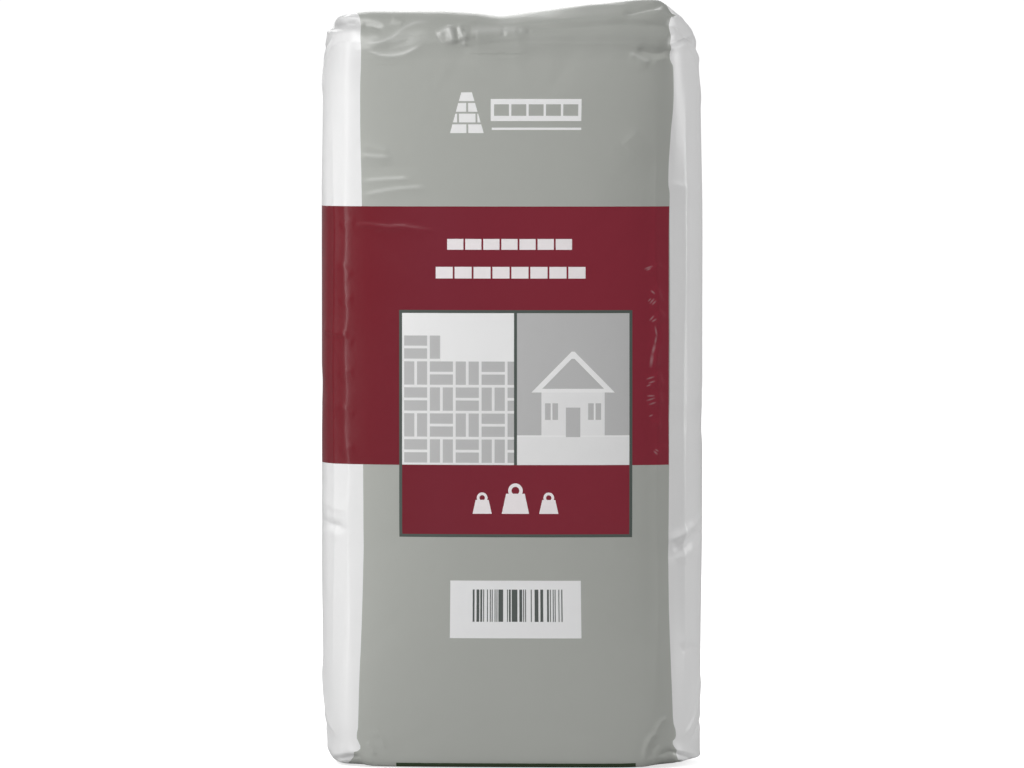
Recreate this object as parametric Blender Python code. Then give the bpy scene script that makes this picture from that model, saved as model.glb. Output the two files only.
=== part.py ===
"""A 20 kg sack of cement, filled, closed and standing on its block bottom.

The sack is one tube of white film with both ends folded in and closed by a glued cover strip.
Metres, +Z up, front face towards -Y, origin on the floor under the middle of the sack.
"""

import bmesh
import bpy
import numpy as np

# Driving sizes of the filled sack
SACK_WIDTH = 0.2670  # over the bulged sides
SACK_DEPTH = 0.1340  # over the crown of the front and the back
TUBE_LENGTH = 0.5260  # of the film between its two folded ends

# Plan outline: flat faces with a crown, bulged sides, and upright edges that are soft half way up
# and tight near both ends. Each is (edge power, crown, crown power).
FACE_HALF_WIDTH = 0.1160
SIDE_HALF_DEPTH = 0.0585
SIDE_BULGE = 0.0235
SIDE_BULGE_POWER = 2.2
SOFT_OUTLINE = (8.0, 0.0150, 2.2)
TIGHT_OUTLINE = (20.0, 0.0120, 3.0)

# Curves in millimetres, as (place, size) steps.
# How far the walls draw in, by the distance from the end of the tube
LEFT_DRAW_TOP = ((0, 4.0), (12, 2.6), (50, 0.9), (120, 0))
LEFT_DRAW_FOOT = ((0, 6.2), (3, 5.6), (8, 4.9), (26, 2.6), (53, 0.9), (120, 0))
RIGHT_DRAW_TOP = ((0, 7.0), (8, 4.2), (24, 2.8), (60, 1.1), (130, 0))
RIGHT_DRAW_FOOT = ((0, 2.2), (3, 3.8), (7, 2.0), (20, 1.4), (80, 1.2), (160, 0))
FACE_DRAW_TOP = ((0, 11), (5, 7.4), (10, 4.6), (18, 1.9), (30, 0.4), (40, 0))
FACE_DRAW_FOOT = ((0, 3.4), (3, 2.0), (8, 0.8), (16, 0))
# Heights over the floor, by X: the folds round both ends, and the crest of the loose top
FRONT_TOP_FOLD = (
    (-130, 514.5), (-103, 516), (-82, 517), (-55, 521.5), (-28, 521), (-6, 518),
    (27, 520), (73, 521.5), (92, 519.5), (109, 518), (127, 515),
)
BACK_TOP_FOLD = ((-130, 513.5), (-100, 516), (-70, 518.5), (-6, 515.5), (60, 518.5), (105, 516), (127, 514))
TOP_CREST = (
    (-129.5, 514.5), (-119.5, 525.3), (-103, 526.5), (-79, 526.9), (-43, 527.0), (-24, 525.8), (-6, 523.7),
    (6, 524.8), (54, 531.5), (88, 534.8), (104, 535.4), (110, 531.5), (120.5, 522.6), (127, 515),
)
CREST_Y = ((-122, -26), (-95, -37), (0, -37), (60, -35), (100, -32), (122, -22))
FOOT_FOLD = ((-130, 11), (-103, 10.5), (-80, 5), (-60, 3), (75, 3), (98, 7), (113, 11.5), (132, 8.5))
FOOT_LIFT = ((86, 0), (100, 1.0), (115, 2.8), (126, 5), (132, 8.4))  # the right corner leaves the floor

# Cover strips, glued over the folded ends
STRIP_THICKNESS = 0.0008
SEAT_GAP = 0.0003  # between a strip and the end it is glued to
STRIP_HALF_LENGTH = 9 / 12  # as a share of the end's mesh spaces from its middle to its rim
STRIP_HALF_WIDTH = 3 / 6

# Mesh spacing: edges along each side of the block, crowded towards its corners
ACROSS, THROUGH, UP = 24, 12, 24
PLAN_CROWDING = 1.35
HEIGHT_CROWDING = 1.9

HALF_WIDTH = SACK_WIDTH / 2
HALF_DEPTH = SACK_DEPTH / 2
FOOT_LEVEL = STRIP_THICKNESS + SEAT_GAP


def smooth_step(value, low, high):
    """0 below low, 1 above high and an S curve between them."""
    share = np.clip((value - low) / (high - low), 0, 1)
    return share * share * (3 - 2 * share)


def crowd(place, power):
    """Moves a place between -1 and 1 towards the nearer end."""
    return (1 - (1 - abs(place)) ** power) * np.sign(place)


def profile(place, steps):
    """Reads one of the curves above, in metres."""
    places, sizes = zip(*steps)
    return np.interp(place * 1000, places, sizes) / 1000


def outline(edge_power, crown, crown_power):
    """The plan outline as x, y and the distance from the middle of the front."""
    turn = np.linspace(0, 2 * np.pi, 8001)
    x = np.sin(turn) * FACE_HALF_WIDTH
    y = -np.cos(turn) * SIDE_HALF_DEPTH
    for _ in range(8):
        face = HALF_DEPTH - crown * np.abs(x / HALF_WIDTH) ** crown_power
        side = HALF_WIDTH - SIDE_BULGE * np.abs(y / HALF_DEPTH) ** SIDE_BULGE_POWER
        size = (np.abs(x / side) ** edge_power + np.abs(y / face) ** edge_power) ** (1 / edge_power)
        x, y = x / size, y / size
    steps = np.hypot(np.diff(x), np.diff(y))
    return x, y, np.concatenate([[0], np.cumsum(steps)])


soft_outline = outline(*SOFT_OUTLINE)
tight_outline = outline(*TIGHT_OUTLINE)
girth = soft_outline[2][-1]
first_quarter = slice(0, 2001)
corner_u = soft_outline[2][np.argmax((soft_outline[0] - soft_outline[1])[first_quarter])]
side_u = girth / 2 - 2 * corner_u


def around(across, through):
    """Distance along the film from the middle of the front, positive to the right."""
    if through < -0.999:
        right = abs(across) * corner_u
    elif through > 0.999:
        right = corner_u + side_u + (1 - abs(across)) * corner_u
    else:
        right = corner_u + (through + 1) / 2 * side_u
    return -right if across < 0 else right


def wall_point(across, through, up):
    """A point of the tube's wall: across and through give its place round the tube, up its height."""
    u = around(crowd(across, PLAN_CROWDING), crowd(through, PLAN_CROWDING))
    v = TUBE_LENGTH * (0.5 + 0.5 * crowd(up, HEIGHT_CROWDING))
    below = TUBE_LENGTH - v
    tightness = 1 - smooth_step(min(v, below), 0.02, 0.16)
    x = y = 0.0
    for part, (line_x, line_y, line_u) in ((1 - tightness, soft_outline), (tightness, tight_outline)):
        travelled = (u % girth) / girth * line_u[-1]
        x += part * np.interp(travelled, line_u, line_x)
        y += part * np.interp(travelled, line_u, line_y)
    left_in = profile(below, LEFT_DRAW_TOP) + profile(v, LEFT_DRAW_FOOT)
    right_in = profile(below, RIGHT_DRAW_TOP) + profile(v, RIGHT_DRAW_FOOT)
    side_in = left_in + (right_in - left_in) * smooth_step(x, -0.05, 0.05)
    face_in = profile(below, FACE_DRAW_TOP) + profile(v, FACE_DRAW_FOOT)
    x *= 1 - side_in / HALF_WIDTH
    y *= 1 - face_in / HALF_DEPTH
    front, back = profile(x, FRONT_TOP_FOLD), profile(x, BACK_TOP_FOLD)
    top = front + (back - front) * smooth_step(y, -0.05, 0.05)
    lift, drop = profile(x, FOOT_FOLD), TUBE_LENGTH - top
    z = v + lift * (1 - smooth_step(v, 0, 0.05)) - drop * smooth_step(v, TUBE_LENGTH - 0.05, TUBE_LENGTH)
    return np.array([x, y, z])


def end_point(across, through, up):
    """A point of a folded end, spread evenly between the four sides of its rim."""
    s, t = (1 + crowd(across, PLAN_CROWDING)) / 2, (1 + crowd(through, PLAN_CROWDING)) / 2
    place = (1 - t) * wall_point(across, -1, up) + t * wall_point(across, 1, up)
    place += (1 - s) * wall_point(-1, through, up) + s * wall_point(1, through, up)
    place -= (1 - s) * (1 - t) * wall_point(-1, -1, up) + s * (1 - t) * wall_point(1, -1, up)
    place -= (1 - s) * t * wall_point(-1, 1, up) + s * t * wall_point(1, 1, up)
    x, y, rim = place
    if up > 0:
        crest, crest_y = profile(x, TOP_CREST), profile(x, CREST_Y)
        if y < crest_y:
            away, power = (crest_y - y) / (crest_y + 0.056), 1.2 + 1.0 * (1 - smooth_step(x, -0.02, 0.03))
        else:
            away, power = (y - crest_y) / (0.056 - crest_y), 1.3
        place[2] = rim + (crest - rim) * (1 - min(max(away, 0), 1) ** power)
    else:
        from_rim = min((1 - s if s > 0.5 else s) * 0.25, (1 - t if t > 0.5 else t) * 0.11)
        ground = FOOT_LEVEL + profile(x, FOOT_LIFT)
        place[2] = ground + (rim - ground) * (1 - smooth_step(from_rim, -0.004, 0.011))
    return place


def sack_point(across, through, up):
    """The point of the sack that a point of the unit block stands for."""
    on_wall = max(abs(across), abs(through)) > 0.999
    return wall_point(across, through, up) if on_wall else end_point(across, through, up)


def block(cuts_across, cuts_through, cuts_up):
    """A 2 m block whose edges along each axis are cut evenly, as a bmesh."""
    mesh = bmesh.new()
    bmesh.ops.create_cube(mesh, size=2.0)
    for axis, parts in enumerate((cuts_across, cuts_through, cuts_up)):
        along = [edge for edge in mesh.edges if abs(edge.verts[0].co[axis] - edge.verts[1].co[axis]) > 1]
        if parts > 1:
            bmesh.ops.subdivide_edges(mesh, edges=along, cuts=parts - 1, use_grid_fill=True)
    return mesh


def merge_flat_foot(mesh):
    """Makes one face of the level patch under the sack or under a strip, and splits all the others.

    The shorter diagonal is always taken, so a strip bends along the same lines as its end.
    """
    lowest = min(vertex.co.z for vertex in mesh.verts)
    level = [face for face in mesh.faces if all(v.co.z < lowest + 1e-6 for v in face.verts)]
    bmesh.ops.dissolve_faces(mesh, faces=level, use_verts=True)
    quads = [face for face in mesh.faces if len(face.verts) == 4]
    bmesh.ops.triangulate(mesh, faces=quads, quad_method="SHORT_EDGE")


def add_solid(name, mesh, material):
    """Puts a finished bmesh in the scene as one named object."""
    bmesh.ops.recalc_face_normals(mesh, faces=mesh.faces)
    data = bpy.data.meshes.new(name)
    mesh.to_mesh(data)
    mesh.free()
    data.materials.append(material)
    data.shade_smooth()
    data.set_sharp_from_angle(angle=0.6)
    solid = bpy.data.objects.new(name, data)
    bpy.context.scene.collection.objects.link(solid)
    return solid


def plain_material(name, colour, roughness):
    material = bpy.data.materials.new(name)
    material.use_nodes = True
    shader = material.node_tree.nodes["Principled BSDF"]
    shader.inputs["Base Color"].default_value = (*colour, 1.0)
    shader.inputs["Roughness"].default_value = roughness
    shader.inputs["Metallic"].default_value = 0.0
    return material


def make_sack(material):
    """The filled tube with both of its folded ends, as one closed solid."""
    mesh = block(ACROSS, THROUGH, UP)
    for vertex in mesh.verts:
        vertex.co = sack_point(*vertex.co)
    merge_flat_foot(mesh)
    return add_solid("filled_sack", mesh, material)


def make_cover_strip(name, up, material):
    """The strip glued over one end. It shares the end's mesh lines, so it lies parallel to it."""
    mesh = block(round(ACROSS * STRIP_HALF_LENGTH), round(THROUGH * STRIP_HALF_WIDTH), 1)
    for vertex in mesh.verts:
        across, through, layer = vertex.co
        x, y, z = end_point(across * STRIP_HALF_LENGTH, through * STRIP_HALF_WIDTH, up)
        outer = SEAT_GAP + STRIP_THICKNESS
        vertex.co = (x, y, z + up * (outer if layer * up > 0 else SEAT_GAP))
    merge_flat_foot(mesh)
    return add_solid(name, mesh, material)


def main():
    for old in list(bpy.data.objects):
        bpy.data.objects.remove(old)
    film = plain_material("printed_film", (0.36, 0.37, 0.35), 0.4)
    strip = plain_material("cover_strip", (0.80, 0.80, 0.79), 0.5)
    make_sack(film)
    make_cover_strip("top_cover_strip", 1, strip)
    make_cover_strip("bottom_cover_strip", -1, strip)


main()
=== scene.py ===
"""A filled 20 kg cement sack in glossy printed film, standing on its block bottom in a white studio."""

import math

import bpy
import numpy as np
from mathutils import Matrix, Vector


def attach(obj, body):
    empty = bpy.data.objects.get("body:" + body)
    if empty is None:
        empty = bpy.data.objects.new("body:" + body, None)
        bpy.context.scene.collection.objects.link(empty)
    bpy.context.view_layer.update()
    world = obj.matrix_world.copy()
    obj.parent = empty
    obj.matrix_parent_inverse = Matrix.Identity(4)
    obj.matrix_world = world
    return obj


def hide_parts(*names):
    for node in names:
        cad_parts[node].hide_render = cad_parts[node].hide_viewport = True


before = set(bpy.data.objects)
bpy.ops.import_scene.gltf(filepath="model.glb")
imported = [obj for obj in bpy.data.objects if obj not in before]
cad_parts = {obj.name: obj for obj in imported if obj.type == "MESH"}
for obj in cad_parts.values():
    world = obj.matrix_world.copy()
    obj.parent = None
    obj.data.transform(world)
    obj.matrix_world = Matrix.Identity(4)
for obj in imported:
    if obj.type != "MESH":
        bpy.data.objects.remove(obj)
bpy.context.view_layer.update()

# Camera. A long lens, 6 m away, a little above the sack's middle and a little to its right.
# The sack fills the height of the picture.

camera_data = bpy.data.cameras.new("studio_camera")
camera_data.lens = 300
camera_data.sensor_width = 36
camera_data.clip_end = 60
camera = bpy.data.objects.new("studio_camera", camera_data)
bpy.context.scene.collection.objects.link(camera)
CAMERA_TURN = math.radians(3.0)
CAMERA_TILT = math.radians(1.9)
CAMERA_DISTANCE = 6.004
camera_back = np.array(
    [
        math.sin(CAMERA_TURN) * math.cos(CAMERA_TILT),
        -math.cos(CAMERA_TURN) * math.cos(CAMERA_TILT),
        math.sin(CAMERA_TILT),
    ]
)
aim = np.array([0.0, 0.0, 0.2657])
camera.location = aim + camera_back * CAMERA_DISTANCE
camera.rotation_euler = (math.pi / 2 - CAMERA_TILT, 0, CAMERA_TURN)
bpy.context.scene.camera = camera

# Studio. A pale floor under a white surround, three soft lights at the left front, one at the right
# and one behind.

bpy.context.scene.view_settings.view_transform = "Standard"


def add_node(tree, kind, inputs=(), **settings):
    """Adds a node. An input that is a socket is linked, and any other value is set."""
    node = tree.nodes.new(kind)
    for name, value in settings.items():
        setattr(node, name, value)
    for place, value in dict(inputs).items():
        if isinstance(value, bpy.types.NodeSocket):
            tree.links.new(value, node.inputs[place])
        else:
            node.inputs[place].default_value = value
    return node


def seen_by_camera(tree, otherwise, seen, output):
    """Shows one shader to the camera and another to all other rays."""
    camera_ray = add_node(tree, "ShaderNodeLightPath").outputs["Is Camera Ray"]
    choice = add_node(tree, "ShaderNodeMixShader", {0: camera_ray, 1: otherwise, 2: seen})
    tree.links.new(choice.outputs[0], tree.nodes[output].inputs["Surface"])


bpy.ops.object.select_all(action="DESELECT")
bpy.ops.mesh.primitive_plane_add(size=14, location=(0, 0, -0.0004))
floor = bpy.context.object
floor.name = "studio_floor"
floor_paint = bpy.data.materials.new("pale_floor")
floor_paint.use_nodes = True
floor_nodes = floor_paint.node_tree
floor_shader = floor_nodes.nodes["Principled BSDF"]
floor_shader.inputs["Base Color"].default_value = (0.8, 0.8, 0.8, 1)
floor_shader.inputs["Roughness"].default_value = 0.9
floor_shader.inputs["Emission Color"].default_value = (1, 1, 1, 1)
places = add_node(floor_nodes, "ShaderNodeTexCoord").outputs["Object"]
how_far = add_node(floor_nodes, "ShaderNodeVectorMath", {0: places}, operation="LENGTH").outputs["Value"]
floor_glow = {"Value": how_far, "From Min": 0.4, "From Max": 1.8, "To Min": 0.72, "To Max": 1.05}
floor_glow = add_node(floor_nodes, "ShaderNodeMapRange", floor_glow).outputs[0]
floor_nodes.links.new(floor_glow, floor_shader.inputs["Emission Strength"])
floor_bounce = add_node(floor_nodes, "ShaderNodeBsdfDiffuse", {"Color": (0.45, 0.45, 0.45, 1)}).outputs[0]
seen_by_camera(floor_nodes, floor_bounce, floor_shader.outputs[0], "Material Output")
floor.data.materials.append(floor_paint)

world = bpy.data.worlds.new("studio_surround")
bpy.context.scene.world = world
world.use_nodes = True
surround = world.node_tree
background = surround.nodes["Background"]
background.inputs["Color"].default_value = (1, 1, 1, 1)
background.inputs["Strength"].default_value = 0.28
white_wall = add_node(surround, "ShaderNodeBackground", {"Color": (1, 1, 1, 1), "Strength": 1.05}).outputs[0]
seen_by_camera(surround, background.outputs[0], white_wall, "World Output")


def add_soft_light(name, place, size, power):
    """A soft panel of light turned to the middle of the sack: size in metres, power in watts."""
    lamp_data = bpy.data.lights.new(name, "AREA")
    lamp_data.shape = "RECTANGLE"
    lamp_data.size, lamp_data.size_y = size
    lamp_data.energy = power
    lamp = bpy.data.objects.new(name, lamp_data)
    bpy.context.scene.collection.objects.link(lamp)
    lamp.location = place
    towards = Vector((0, 0, 0.27)) - Vector(place)
    lamp.rotation_euler = towards.to_track_quat("-Z", "Y").to_euler()
    lamp.visible_camera = False


add_soft_light("key_light", (-1.08, -0.91, 1.96), (1.0, 0.8), 18.3)
add_soft_light("front_light", (-0.95, -1.65, 1.37), (0.8, 0.8), 13.7)
add_soft_light("left_light", (-2.03, -0.84, 0.73), (0.3, 1.6), 9.8)
add_soft_light("right_light", (2.09, 0.37, 0.84), (1.0, 1.4), 20.2)
add_soft_light("back_light", (-0.33, 1.88, 1.37), (1.4, 1.4), 16)

# The film sack. One tube of printed plastic film, filled with cement powder, so that its faces are
# crowned and its sides bulge. Both ends are folded in to a block and held by the glued strips
# below. Its mesh is cut from a cube and shaped ring by ring.

HALF_WIDTH, HALF_DEPTH = 0.1335, 0.0670
FACE_HALF_WIDTH, SIDE_HALF_DEPTH = 0.1160, 0.0585
SIDE_BULGE, SIDE_BULGE_POWER = 0.0235, 2.2
TUBE_LENGTH = 0.5260
FOOT_LEVEL = 0.0011
END_HALF_DEPTH = 0.056
CUTS_ACROSS, CUTS_THROUGH, CUTS_UP = 60, 30, 120


def outline(edge_power, crown, crown_power):
    """The sack's plan outline as x, y and the distance from the middle of the front."""
    turn = np.linspace(0, 2 * np.pi, 8001)
    x = np.sin(turn) * FACE_HALF_WIDTH
    y = -np.cos(turn) * SIDE_HALF_DEPTH
    for _ in range(8):
        face = HALF_DEPTH - crown * np.abs(x / HALF_WIDTH) ** crown_power
        side = HALF_WIDTH - SIDE_BULGE * np.abs(y / HALF_DEPTH) ** SIDE_BULGE_POWER
        size = (np.abs(x / side) ** edge_power + np.abs(y / face) ** edge_power) ** (1 / edge_power)
        x, y = x / size, y / size
    steps = np.hypot(np.diff(x), np.diff(y))
    return x, y, np.concatenate([[0], np.cumsum(steps)])


soft_outline = outline(8.0, 0.0150, 2.2)
sharp_outline = outline(20.0, 0.0120, 3.0)
GIRTH = soft_outline[2][-1]
quarter = slice(0, 2001)
CORNER_U = soft_outline[2][quarter][np.argmax(soft_outline[0][quarter] - soft_outline[1][quarter])]
SIDE_U = GIRTH / 2 - 2 * CORNER_U


def smooth_step(value, low, high):
    share = np.clip((value - low) / (high - low), 0, 1)
    return share * share * (3 - 2 * share)


def around(across, through):
    """Distance along the film from the middle of the front, positive to the right."""
    right = np.where(through <= -0.999, np.abs(across) * CORNER_U, CORNER_U + (through + 1) / 2 * SIDE_U)
    right = np.where(through >= 0.999, CORNER_U + SIDE_U + (1 - np.abs(across)) * CORNER_U, right)
    return right * np.where(across < 0, -1, 1)


def profile(place, *steps):
    """Reads a curve given as (place, size) steps in millimetres, in metres."""
    places, sizes = zip(*steps)
    return np.interp(np.asarray(place) * 1000, places, sizes) / 1000


def top_fold(x, y):
    """Height of the fold between a wall and the top end, lowest at its middle and its corners."""
    front = profile(
        x, (-130, 514.5), (-103, 516), (-82, 517), (-55, 521.5), (-28, 521), (-6, 518),
        (27, 520), (73, 521.5), (92, 519.5), (109, 518), (127, 515),
    )
    back = profile(
        x, (-130, 513.5), (-100, 516), (-70, 518.5), (-6, 515.5), (60, 518.5), (105, 516), (127, 514)
    )
    return front + (back - front) * smooth_step(y, -0.05, 0.05)


def foot_fold(x):
    """Height of the fold between a wall and the foot, lifted at the corners."""
    return profile(
        x, (-130, 10), (-112, 9), (-104, 4), (-97, 0.5), (-80, 0.2), (80, 0.2), (97, 0.6), (105, 3.8),
        (113, 5.8), (132, 4.4),
    )


def wall(u, v):
    """A point of the tube's wall: u round the film from the middle of its front, v up it."""
    travelled = np.mod(u, GIRTH) / GIRTH
    sharpness = 1 - smooth_step(np.minimum(v, TUBE_LENGTH - v), 0.02, 0.16)
    x = y = 0
    for part, (ox, oy, ou) in ((1 - sharpness, soft_outline), (sharpness, sharp_outline)):
        x = x + part * np.interp(travelled * ou[-1], ou, ox)
        y = y + part * np.interp(travelled * ou[-1], ou, oy)
    below = TUBE_LENGTH - v
    left_in = profile(below, (0, 4.0), (12, 2.6), (50, 0.9), (120, 0))
    left_in = left_in + profile(v, (0, 3.2), (3, 3.4), (8, 3.4), (26, 1.9), (53, 0.8), (120, 0))
    right_in = profile(below, (0, 7.0), (8, 4.2), (24, 2.8), (60, 1.1), (130, 0))
    right_in = right_in + profile(v, (0, 0.6), (3, 1.2), (7, 1.2), (20, 1.2), (80, 1.1), (160, 0))
    side_in = left_in + (right_in - left_in) * smooth_step(x, -0.05, 0.05)
    face_in = profile(below, (0, 10.6), (3, 7.4), (7, 4.0), (12, 1.6), (18, 0.5), (28, 0))
    face_in = face_in + profile(v, (0, 2.2), (2, 0.8), (4, 0.2), (7, 0))
    x = x - np.sign(x) * side_in * smooth_step(np.abs(x), 0.092, 0.130)
    y = y * (1 - face_in / HALF_DEPTH)
    lift, drop = foot_fold(x), TUBE_LENGTH - top_fold(x, y)
    z = v + lift * (1 - smooth_step(v, 0, 0.05)) - drop * smooth_step(v, TUBE_LENGTH - 0.05, TUBE_LENGTH)
    return np.stack([x, y, z], axis=-1)


def up_the_tube(up):
    """Rings crowd a little towards both ends."""
    return TUBE_LENGTH * (0.5 + 0.5 * np.sign(up) * (1 - (1 - np.abs(up)) ** 1.25))


def end(across, through, up):
    """A point of a folded end, spread evenly between the four sides of its rim."""
    one = np.ones_like(across)
    v = up_the_tube(up) * one
    front, back = wall(around(across, -one), v), wall(around(across, one), v)
    left, right = wall(around(-one, through), v), wall(around(one, through), v)
    s, t = ((1 + across) / 2)[:, None], ((1 + through) / 2)[:, None]
    place = (1 - t) * front + t * back + (1 - s) * left + s * right
    corner_shares = ((-1, -1, (1 - s) * (1 - t)), (1, -1, s * (1 - t)), (-1, 1, (1 - s) * t), (1, 1, s * t))
    for a, b, share in corner_shares:
        place = place - share * wall(around(a * one, b * one), v)
    x, y, rim = place.T
    if up > 0:
        crest = profile(
            x, (-129.5, 515.4), (-124, 519.2), (-119, 525.2), (-103, 527.8), (-79, 528.0), (-43, 528.0),
            (-24, 526.7), (-6, 524.5), (6, 525.7), (54, 532.4), (88, 535.4), (104, 536.0), (110, 531.8),
            (120.5, 522.8), (127, 515),
        )
        crest_y = profile(x, (-122, -26), (-95, -37), (0, -37), (60, -35), (100, -32), (122, -22))
        reach = np.where(y < crest_y, END_HALF_DEPTH + crest_y, END_HALF_DEPTH - crest_y)
        away = np.abs(y - crest_y) / reach
        power = np.where(y < crest_y, 1.2 + 1.0 * (1 - smooth_step(x, -0.02, 0.03)), 1.3)
        place[:, 2] = rim + (crest - rim) * (1 - np.clip(away, 0, 1) ** power)
        under_strip = smooth_step(0.90 - np.abs(across), 0, 0.05) * smooth_step(through, -0.50, -0.40)
        place[:, 2] -= 0.0009 * under_strip * smooth_step(0.66 - through, 0, 0.05)
    else:
        from_rim = np.minimum((1 - np.abs(across)) * 0.125, (1 - np.abs(through)) * 0.055)
        ground = FOOT_LEVEL + profile(x, (86, 0), (100, 0.4), (115, 1.3), (126, 2.8), (132, 4.0))
        place[:, 2] = ground + (rim - ground) * (1 - smooth_step(from_rim, -0.004, 0.011))
    return place


def read(parts, kind, width=3):
    """One value of all vertices, edges or loops of a mesh, in rows."""
    values = np.empty(len(parts) * width, np.float64 if width == 3 else np.int64)
    parts.foreach_get(kind, values)
    return values.reshape(-1, width)


bpy.ops.object.select_all(action="DESELECT")
bpy.ops.mesh.primitive_cube_add(size=2)
sack = bpy.context.object
sack.name = "printed_sack"
bpy.context.tool_settings.mesh_select_mode = (False, True, False)
for axis, cuts in ((0, CUTS_ACROSS), (1, CUTS_THROUGH), (2, CUTS_UP // 2), (2, 2)):
    bpy.ops.object.mode_set(mode="EDIT")
    bpy.ops.mesh.select_all(action="DESELECT")
    bpy.ops.object.mode_set(mode="OBJECT")
    corners = [vertex.co.copy() for vertex in sack.data.vertices]
    for edge in sack.data.edges:
        first, last = (corners[i] for i in edge.vertices)
        edge.select = abs(first[axis] - last[axis]) > 0.001
    bpy.ops.object.mode_set(mode="EDIT")
    bpy.ops.mesh.subdivide(number_cuts=cuts - 1)
bpy.ops.object.mode_set(mode="OBJECT")

block = read(sack.data.vertices, "co")
across, through, up = block.T
on_wall = np.maximum(np.abs(across), np.abs(through)) > 0.999
shaped = np.empty_like(block)
shaped[on_wall] = wall(around(across[on_wall], through[on_wall]), up_the_tube(up[on_wall]))
for level in (1, -1):
    on_end = ~on_wall & (np.abs(up - level) < 0.001)
    shaped[on_end] = end(across[on_end], through[on_end], level)

# The flat sheet before it was folded, in metres: U round the tube, V up it and over its ends.

sheet_map = sack.data.uv_layers["UVMap"] if "UVMap" in sack.data.uv_layers else sack.data.uv_layers.new()
sheet_map.name = "flat_film"
loop_vertex = read(sack.data.loops, "vertex_index", 1)[:, 0]
flat = np.empty((len(loop_vertex), 2))
for face in sack.data.polygons:
    rows = np.arange(face.loop_start, face.loop_start + face.loop_total)
    a, b, c = block[loop_vertex[rows]].T
    mid = (a.mean(), b.mean(), c.mean())
    if abs(mid[2]) > 0.999:
        near_front = mid[1] < 0
        reach = (1 - np.abs(b)) * END_HALF_DEPTH
        flat[rows, 0] = a * CORNER_U if near_front else np.sign(mid[0]) * GIRTH / 2 - a * CORNER_U
        flat[rows, 1] = (TUBE_LENGTH + reach) if mid[2] > 0 else -reach
    else:
        u = around(a, b)
        if abs(u[0] - u[2]) > GIRTH / 2 or (mid[1] > 0.999 and abs(mid[0]) < 2 / CUTS_ACROSS):
            u = np.where(np.abs(a) < 1e-6, np.sign(mid[0]) * GIRTH / 2, u)
        flat[rows, 0] = u
        flat[rows, 1] = up_the_tube(c)
sheet_map.data.foreach_set("uv", flat.ravel())
sack.data.vertices.foreach_set("co", shaped.ravel())
sack.data.update()

# The film is cut as a straight box. Round the powder it has to settle, which wrinkles it. Only the
# wrinkles are kept, because the sack's own shape is already drawn above. They are weaker in front,
# where the creases are drawn one by one.

bpy.ops.object.select_all(action="DESELECT")
sack.select_set(True)
bpy.context.view_layer.objects.active = sack
cut = np.stack([across * CORNER_U, through * SIDE_U / 2, up_the_tube(up)], axis=-1)
sack.shape_key_add(name="filled")
cut_key = sack.shape_key_add(name="flat_cut")
cut_key.data.foreach_set("co", cut.ravel())
held = sack.vertex_groups.new(name="held_by_floor")
held.add([int(i) for i in np.nonzero(shaped[:, 2] < FOOT_LEVEL + 0.0005)[0]], 1.0, "REPLACE")
settling = sack.modifiers.new("settling", "CLOTH")
film_cloth = settling.settings
film_cloth.rest_shape_key = cut_key
film_cloth.vertex_group_mass = "held_by_floor"
film_cloth.quality = 6
film_cloth.mass = 0.15
film_cloth.tension_stiffness = 60
film_cloth.compression_stiffness = 60
film_cloth.shear_stiffness = 20
film_cloth.bending_stiffness = 0.05
film_cloth.air_damping = 4
film_cloth.effector_weights.gravity = 0
film_cloth.use_pressure = True
film_cloth.uniform_pressure_force = 4
settling.point_cache.frame_start, settling.point_cache.frame_end = 1, 20
for step in range(1, 21):
    bpy.context.scene.frame_set(step)
settled = sack.evaluated_get(bpy.context.evaluated_depsgraph_get()).to_mesh()
moved = read(settled.vertices, "co") - shaped
sack.modifiers.remove(settling)
sack.shape_key_clear()
sack.vertex_groups.clear()
bpy.context.scene.frame_set(1)
first, second = read(sack.data.edges, "vertices", 2).T
neighbours = np.bincount(np.concatenate([first, second]), minlength=len(moved))[:, None]
broad = moved.copy()
for _ in range(60):
    spread = np.empty_like(broad)
    for axis in range(3):
        spread[:, axis] = np.bincount(first, broad[second, axis], len(broad))
        spread[:, axis] += np.bincount(second, broad[first, axis], len(broad))
    broad = 0.4 * broad + 0.6 * spread / neighbours
moved -= broad
distance = np.linalg.norm(moved, axis=1)
HIGHEST_WRINKLE = 0.0025
moved *= (HIGHEST_WRINKLE * np.tanh(distance / HIGHEST_WRINKLE) / np.maximum(distance, 1e-9))[:, None]
WRINKLES, LESS_IN_FRONT = 0.45, 0.27
moved *= (WRINKLES - LESS_IN_FRONT * smooth_step(-shaped[:, 1], -0.03, 0.01))[:, None]
moved[shaped[:, 2] < FOOT_LEVEL + 0.0005] = 0
shaped += moved
sack.data.vertices.foreach_set("co", shaped.ravel())
sack.data.update()
on_ends = {}
for level in (1, -1):
    rows = np.nonzero(np.abs(up - level) < 0.001)[0]
    order = np.lexsort((through[rows], across[rows]))
    on_ends[level] = shaped[rows[order]].reshape(CUTS_ACROSS + 1, CUTS_THROUGH + 1, 3)
smoothing = sack.modifiers.new("finer_mesh", "SUBSURF")
smoothing.levels = smoothing.render_levels = 2
bpy.ops.object.modifier_apply(modifier="finer_mesh")
bpy.ops.object.shade_smooth()

# Creases of the film. Each is a sharp little ridge or valley along a line, drawn as seen from one
# side, in millimetres from the sack's middle and from the floor: kind, height, width, points.

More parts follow.
